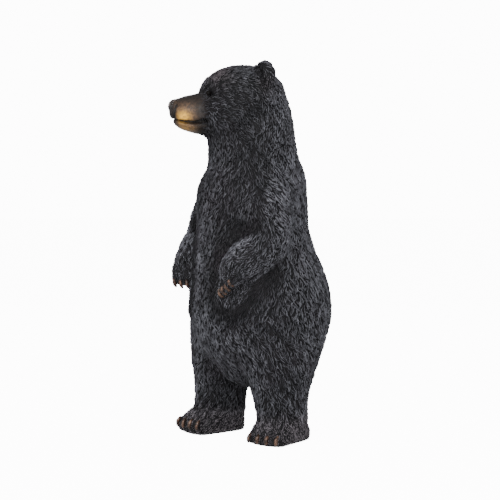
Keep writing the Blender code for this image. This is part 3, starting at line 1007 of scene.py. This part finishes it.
nose = added("nose", bpy.ops.mesh.primitive_uv_sphere_add, segments=32, ring_count=22, radius=1)
for way in (-1, 1):
    pick(nose, lambda c: in_nostril(c, way))
    bpy.ops.mesh.inset(thickness=0.05, depth=0)
    bpy.ops.mesh.extrude_region_move(TRANSFORM_OT_translate={"value": (0, 0.42, 0)})
    bpy.ops.transform.resize(value=(0.7, 1, 0.7), orient_type="GLOBAL")
    bpy.ops.object.mode_set(mode="OBJECT")
applied(nose, "SUBSURF", levels=1, render_levels=1)
at, _ = points(nose)
at = at * np.array(span(*NOSE_HALF))
at[:, 0] *= 1 - 0.25 * fade(at[:, 2], 0, -share(NOSE_HALF[2]))
at *= 1 + 0.055 * smooth_noise(at, 0.0021, 17)[:, None]
# The lower part of the nose is painted darker, as shade under it.
attribute(nose, "under", fade(at[:, 2], share(4), share(-6)))
at = at @ np.array(HEAD)[:3, :3].T + np.array(HEAD @ span(*NOSE))
put(nose, in_box(at))
nose.data.shade_smooth()
print("nose:", len(nose.data.polygons), "faces")

# %% Model the eyes
EYE_RADIUS = 0.0034

eyes = []
for side, way in (("right", -1), ("left", 1)):
    where, _, face, _ = tree.find_nearest(on_head(*EYE, way))
    spot = where - Vector(smooth[face]) * EYE_RADIUS * 0.5
    ball = {"segments": 24, "ring_count": 16, "radius": EYE_RADIUS, "location": spot}
    eye = added(side + "_eye", bpy.ops.mesh.primitive_uv_sphere_add, **ball)
    bpy.ops.object.transform_apply(location=True, rotation=True, scale=True)
    eye.data.shade_smooth()
    eyes.append(eye)
print(len(eyes), "eyes set")

# %% [markdown]
# ## Paint masks on the skin
#
# The tan of the muzzle was sprayed, so it fades with no edge: golden on the lip behind the nose,
# brown towards the bridge and black at the cheeks. The gold patch, and a fainter spot on the lower lip,
# are partly the paint's own and partly a painted highlight. Each point of the skin stores how much of
# each paint it has, by its place in the head's frame, and how dark the creases and the place under the
# nose are, the creases as noted when the gouge cut them: partly dark paint and partly painted shade.
# A slow noise breaks the masks up, as a worn spray does.

# %% Mask the muzzle
NOSE_FRONT = (0, -202, -44)
NOSE_DARK = (24, 14, 17)  # how far the dark under it reaches: partly dark paint, partly painted shade

at, _ = points(skin)
head_at = within(HEAD, at)
_, y, z = head_at.T
near_head = np.abs(z) < 130
mottle = 1 + 0.35 * smooth_noise(at, 0.0016, 41) + 0.25 * smooth_noise(at, 0.0007, 42)
tan = fade(y, -120, -158) * fade(z, -2, -36) * near_head * mottle
tan *= 1 - 0.12 * fade(z, -66, -74) * fade(y, -176, -150)
tan *= fade(y + 0.2 * z, -200, -184)
# Painted highlight, partly the tan's own gold: a patch on the upper lip behind the nose and a fainter spot
# on the lower lip.
gold_and_highlight = np.exp(-(((y + 166) / 14) ** 2 + ((z + 51) / 13) ** 2)) * fade(y + 0.2 * z, -200, -186)
gold_and_highlight += 0.18 * np.exp(-(((y + 162) / 20) ** 2 + ((z + 82) / 7) ** 2))
brown = fade(y, -92, -134) * fade(z, 22, -14) * near_head * mottle
tan, brown = np.clip(tan, 0, 1), np.clip(brown, 0, 1)
# The skin under and in front of the nose's lower part is darkened: partly dark paint, partly painted shade.
front = (head_at - NOSE_FRONT) / NOSE_DARK
crease_paint_and_shade = np.clip(crease_paint_and_shade + np.exp(-(np.linalg.norm(front, axis=1) ** 2)), 0, 1)
attribute(skin, "tan", tan)
attribute(skin, "gold_and_highlight", gold_and_highlight)
attribute(skin, "brown", brown)
attribute(skin, "crease_paint_and_shade", crease_paint_and_shade)
skin.data.shade_smooth()
print("muzzle masked:", int((tan > 0.5).sum()), "points")

# %% [markdown]
# ## Paints
#
# The real paints are sprayed, brushed and wiped by hand. Each paint here mixes two or more shades, by
# the masks that the pieces carry and by a fine speckle. Nearly every paint needs the speckle and the
# dimples of the cast, so each of these is a node group, built once.

# %% Tools for mixing paints
def material(name):
    """A new material and its main shader."""
    made = bpy.data.materials.new(name)
    made.use_nodes = True
    return made, made.node_tree, made.node_tree.nodes["Principled BSDF"]


def node(tree, kind, **settings):
    """A new node with its settings."""
    made = tree.nodes.new(kind)
    for name, value in settings.items():
        setattr(made, name, value)
    return made


def feed(tree, socket, value):
    """Links a socket to a node's output, or sets its plain number or colour."""
    if isinstance(value, bpy.types.NodeSocket):
        tree.links.new(value, socket)
    else:
        socket.default_value = value


def mixed(tree, share_of, a, b):
    """A colour between two, by a mask."""
    mix = node(tree, "ShaderNodeMix", data_type="RGBA")
    for place_in, value in ((0, share_of), (6, a), (7, b)):
        feed(tree, mix.inputs[place_in], value)
    return mix.outputs[2]


def ramp(tree, source, stops):
    """A mask that follows a source through stops."""
    made = node(tree, "ShaderNodeValToRGB")
    tree.links.new(source, made.inputs[0])
    elements = made.color_ramp.elements
    while len(elements) < len(stops):
        elements.new(0.5)
    for element, (at, value) in zip(elements, stops):
        element.position = at
        element.color = (value, value, value, 1)
    return made.outputs[0]


def stored(tree, name):
    """A value that the piece's points carry."""
    return node(tree, "ShaderNodeAttribute", attribute_name=name).outputs["Fac"]


def product(tree, a, b):
    """Two masks multiplied."""
    made = node(tree, "ShaderNodeMath", operation="MULTIPLY")
    feed(tree, made.inputs[0], a)
    feed(tree, made.inputs[1], b)
    return made.outputs[0]


def effect(name, inputs, output):
    """A new group of nodes with its sockets, and its input and output nodes."""
    group = bpy.data.node_groups.new(name, "ShaderNodeTree")
    for label in inputs:
        group.interface.new_socket(label, in_out="INPUT", socket_type="NodeSocketFloat")
    group.interface.new_socket(output[0], in_out="OUTPUT", socket_type=output[1])
    return group, node(group, "NodeGroupInput"), node(group, "NodeGroupOutput")


def grain(group, scale):
    """A noise on the object's own coordinates."""
    where = node(group, "ShaderNodeTexCoord")
    made = node(group, "ShaderNodeTexNoise")
    made.inputs["Detail"].default_value = 4
    group.links.new(scale, made.inputs["Scale"])
    group.links.new(where.outputs["Object"], made.inputs["Vector"])
    return made.outputs["Fac"]


print(len(bpy.data.materials), "materials so far")

# %% Two shared effects: speckled paint and a dimpled surface
SPECKLE, given, result = effect("speckle", ["Scale", "Low", "High"], ("Mask", "NodeSocketFloat"))
spread = node(SPECKLE, "ShaderNodeMapRange")
SPECKLE.links.new(grain(SPECKLE, given.outputs["Scale"]), spread.inputs["Value"])
SPECKLE.links.new(given.outputs["Low"], spread.inputs["From Min"])
SPECKLE.links.new(given.outputs["High"], spread.inputs["From Max"])
SPECKLE.links.new(spread.outputs["Result"], result.inputs["Mask"])

DIMPLE, given, result = effect("dimple", ["Scale", "Depth"], ("Normal", "NodeSocketVector"))
bump = node(DIMPLE, "ShaderNodeBump")
DIMPLE.links.new(grain(DIMPLE, given.outputs["Scale"]), bump.inputs["Height"])
DIMPLE.links.new(given.outputs["Depth"], bump.inputs["Distance"])
DIMPLE.links.new(bump.outputs["Normal"], result.inputs["Normal"])


def shared(tree, group, **values):
    """A shared effect with its values set."""
    made = node(tree, "ShaderNodeGroup", node_tree=group)
    for name, value in values.items():
        made.inputs[name].default_value = value
    return made.outputs[0]


def speckled(tree, scale, low, high):
    """A mask of soft specks."""
    return shared(tree, SPECKLE, Scale=scale, Low=low, High=high)


print(len(bpy.data.node_groups), "shared effects")

# %% The colours
BLACK = (0.0028, 0.0028, 0.0038, 1)
DEEP = (0.0070, 0.0044, 0.0066, 1)
# GREY, and PLUM where the wash is brown, go on the stroke crests: partly a dry brush of grey and partly a
# painted highlight.
GREY = (0.176, 0.178, 0.204, 1)
PLUM = (0.208, 0.178, 0.194, 1)

SKIN_BLACKS = ((0.0030, 0.0030, 0.0038, 1), (0.0060, 0.0054, 0.0064, 1))
BROWN = (0.020, 0.0145, 0.012, 1)
TANS = ((0.135, 0.080, 0.046, 1), (0.062, 0.040, 0.028, 1))
# The gold is partly the lip's own paint and partly a painted highlight.
GOLDS = ((0.95, 0.50, 0.060, 1), (0.48, 0.24, 0.040, 1))
# The crease colour is the dark of the mouth, the folds and under the nose: partly paint, partly painted
# shade.
CREASE_PAINT_AND_SHADE = (0.006, 0.0045, 0.004, 1)
COPPERS = ((0.018, 0.011, 0.009, 1), (0.115, 0.064, 0.043, 1))
# The nose's light grey stands partly for painted glints on its bumps, and its darker under colour is
# painted shade on its lower part.
NOSE_GREYS_AND_GLINTS = ((0.010, 0.0070, 0.0060, 1), (0.200, 0.160, 0.140, 1))
NOSE_UNDER_SHADE = (0.0030, 0.0022, 0.0022, 1)
EYE_BROWNS = ((0.0016, 0.0012, 0.0012, 1), (0.0050, 0.0034, 0.0030, 1))
print("grey of the dry brush:", GREY[:3])


# %% Mix the coat's paint
def start_paint(name, speckle, shades, specular=0.5):
    """A new paint of two speckled shades, with its nodes, shader and colour."""
    made, tree, shader = material(name)
    shader.inputs["Specular IOR Level"].default_value = specular
    return made, tree, shader, mixed(tree, speckled(tree, *speckle), *shades)


def finish_paint(tree, shader, colour, roughness, scale=0, depth=0):
    """Gives a paint its colour, gloss and dimples."""
    feed(tree, shader.inputs["Base Color"], colour)
    feed(tree, shader.inputs["Roughness"], roughness)
    if depth:
        feed(tree, shader.inputs["Normal"], shared(tree, DIMPLE, Scale=scale, Depth=depth))
    print("a paint of", len(tree.nodes), "nodes")


coat_paint, nodes, shader, base = start_paint("coat paint", (22, 0.45, 0.65), (BLACK, DEEP), 0.20)
# The crests are lightened, partly as dry brush and partly as painted highlight, by each stroke's own shade
# and by the painted light and shade.
crest_brush_and_highlight = ramp(nodes, stored(nodes, "ridge"), [(0.35, 0.0), (0.9, 1.0)])
shaded = ramp(nodes, stored(nodes, "shade"), [(0.15, 0.15), (0.85, 1.0)])
# Painted light and shade: strokes that see little of the sky are painted darker, those in the open lighter.
by_painted_light = ramp(nodes, stored(nodes, "painted_light_shade"), [(0.45, 0.10), (0.84, 0.72), (1.0, 1.0)])
reached = product(nodes, product(nodes, crest_brush_and_highlight, shaded), by_painted_light)
brushed = mixed(nodes, stored(nodes, "warm"), GREY, PLUM)
finish_paint(nodes, shader, mixed(nodes, reached, base, brushed), 0.42, 900, 0.0003)

# %% Mix the skin's paint
skin_paint, nodes, shader, base = start_paint("skin paint", (60, 0.4, 0.62), SKIN_BLACKS, 0.18)
tan_paint = mixed(nodes, speckled(nodes, 380, 0.42, 0.60), *TANS)
gold = mixed(nodes, speckled(nodes, 300, 0.46, 0.66), *GOLDS)
for mask, paint in (("brown", BROWN), ("tan", tan_paint), ("gold_and_highlight", gold), ("crease_paint_and_shade", CREASE_PAINT_AND_SHADE)):
    base = mixed(nodes, stored(nodes, mask), base, paint)
sheen = ramp(nodes, stored(nodes, "brown"), [(0.0, 0.75), (0.6, 0.40)])
finish_paint(nodes, shader, base, sheen, 500, 0.0004)

# %% Mix the paints of claws, nose and eyes
claw_paint, nodes, shader, base = start_paint("claw copper", (260, 0.38, 0.62), COPPERS)
shader.inputs["Metallic"].default_value = 0.45
finish_paint(nodes, shader, base, 0.24, 700, 0.0003)

# The nose's light specks stand partly for painted glints on its bumps, and its lower part takes painted
# shade.
nose_paint, nodes, shader, base = start_paint("nose paint", (300, 0.45, 0.62), NOSE_GREYS_AND_GLINTS)
base = mixed(nodes, stored(nodes, "under"), base, NOSE_UNDER_SHADE)
finish_paint(nodes, shader, base, 0.20, 300, 0.0022)

eye_paint, nodes, shader, base = start_paint("eye glaze", (300, 0.4, 0.6), EYE_BROWNS, 0.08)
finish_paint(nodes, shader, base, 0.55)

# %% Paint the pieces
painted = [(skin, skin_paint), (nose, nose_paint)]
painted += [(piece, coat_paint) for piece in coats]
painted += [(piece, claw_paint) for piece in claws]
painted += [(piece, eye_paint) for piece in eyes]
for piece, paint in painted:
    piece.data.materials.clear()
    piece.data.materials.append(paint)
print(len(painted), "pieces painted")

# %% [markdown]
# ## One casting
#
# The figure is one casting, so everything rides on the one body. The skin stands
# for the imported solid, and the strokes, claws, eyes and nose grow from it.

# %% Tie the pieces to the casting
all_pieces = [skin, nose] + coats + claws + eyes
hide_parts("bear")
for piece in all_pieces:
    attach(piece, "root")
print(sum(len(face.vertices) - 2 for piece in all_pieces for face in piece.data.polygons), "triangles")

# %% [markdown]
# ## Floor, light and camera
#
# The statue stands on a plain, nearly white ground in soft studio light. So the floor is a wide disc
# that looks bright to the camera alone, and the sky is the same. The bear is lit by square soft lamps
# round it, the strongest beside the camera, which stands 58 degrees round from the front.

# %% Floor
GROUND_GLOW = 12.0

floor = added("floor", bpy.ops.mesh.primitive_circle_add, vertices=64, radius=9, fill_type="NGON")
floor_paint, nodes, shader = material("pale floor")
shader.inputs["Base Color"].default_value = (0.80, 0.80, 0.80, 1)
shader.inputs["Roughness"].default_value = 0.9
shader.inputs["Emission Color"].default_value = (1, 1, 1, 1)
seen = node(nodes, "ShaderNodeLightPath").outputs["Is Camera Ray"]
nodes.links.new(product(nodes, seen, GROUND_GLOW), shader.inputs["Emission Strength"])
floor.data.materials.append(floor_paint)
print("floor", round(max(floor.dimensions), 2), "m wide")

# %% Light
SKY_GLOW = 0.50  # what lights the bear
SKY_SEEN = 16.0  # what the camera sees behind it
LAMPS = [  # name, degrees round from the front, height, distance, size, watts
    ("key", 60, 1.35, 1.5, 0.9, 33),
    ("front", 12, 0.9, 1.7, 0.9, 8),
    ("right_rim", 160, 1.0, 1.3, 0.6, 3),
    ("left_rim", -50, 0.8, 1.4, 0.6, 3),
    ("top", 40, 2.2, 0.4, 0.7, 3),
    ("low", 54, 0.22, 1.6, 0.5, 8),
    ("back", 235, 1.1, 1.6, 0.9, 8),
]
CHEST = Vector((0, 0, 0.27))

world = bpy.data.worlds.new("studio")
bpy.context.scene.world = world
world.use_nodes = True
sky = world.node_tree
glow = sky.nodes["Background"]
glow.inputs["Color"].default_value = (1.0, 1.0, 1.0, 1)
glow.inputs["Strength"].default_value = SKY_GLOW
white = node(sky, "ShaderNodeBackground")
white.inputs["Strength"].default_value = SKY_SEEN
either = node(sky, "ShaderNodeMixShader")
sky.links.new(node(sky, "ShaderNodeLightPath").outputs["Is Camera Ray"], either.inputs[0])
sky.links.new(glow.outputs[0], either.inputs[1])
sky.links.new(white.outputs[0], either.inputs[2])
sky.links.new(either.outputs[0], sky.nodes["World Output"].inputs[0])


def round_from_front(azimuth, distance, height):
    """A place round the bear."""
    a = math.radians(azimuth)
    return Vector((distance * math.sin(a), -distance * math.cos(a), height))


def soft_light(name, azimuth, height, distance, size, watts):
    """A square soft light that looks at the bear's chest."""
    data = bpy.data.lights.new(name, "AREA")
    data.size = size
    data.energy = watts
    lamp = linked(name, data)
    lamp.location = round_from_front(azimuth, distance, height)
    aim = CHEST - lamp.location
    lamp.rotation_euler = aim.to_track_quat("-Z", "Y").to_euler()


for lamp in LAMPS:
    soft_light(*lamp)
print(len(LAMPS), "lamps")

# %% Camera
VIEW = 58.0
FAR = 1.92
EYE_LEVEL = 0.356
AIM = 0.2503
ASIDE = -0.0017  # the camera aims beside the axis

data = bpy.data.cameras.new("camera")
data.lens = 103.7
data.sensor_width = 36.0
camera = linked("camera", data)
axis = place(0, 0, 0)
camera.location = axis + round_from_front(VIEW, FAR, EYE_LEVEL)
across = round_from_front(VIEW + 90, 1, 0)
aim = axis + across * ASIDE + Vector((0, 0, AIM))
camera.rotation_euler = (aim - camera.location).to_track_quat("-Z", "Y").to_euler()
bpy.context.scene.camera = camera
print("camera at", tuple(round(v, 3) for v in camera.location))
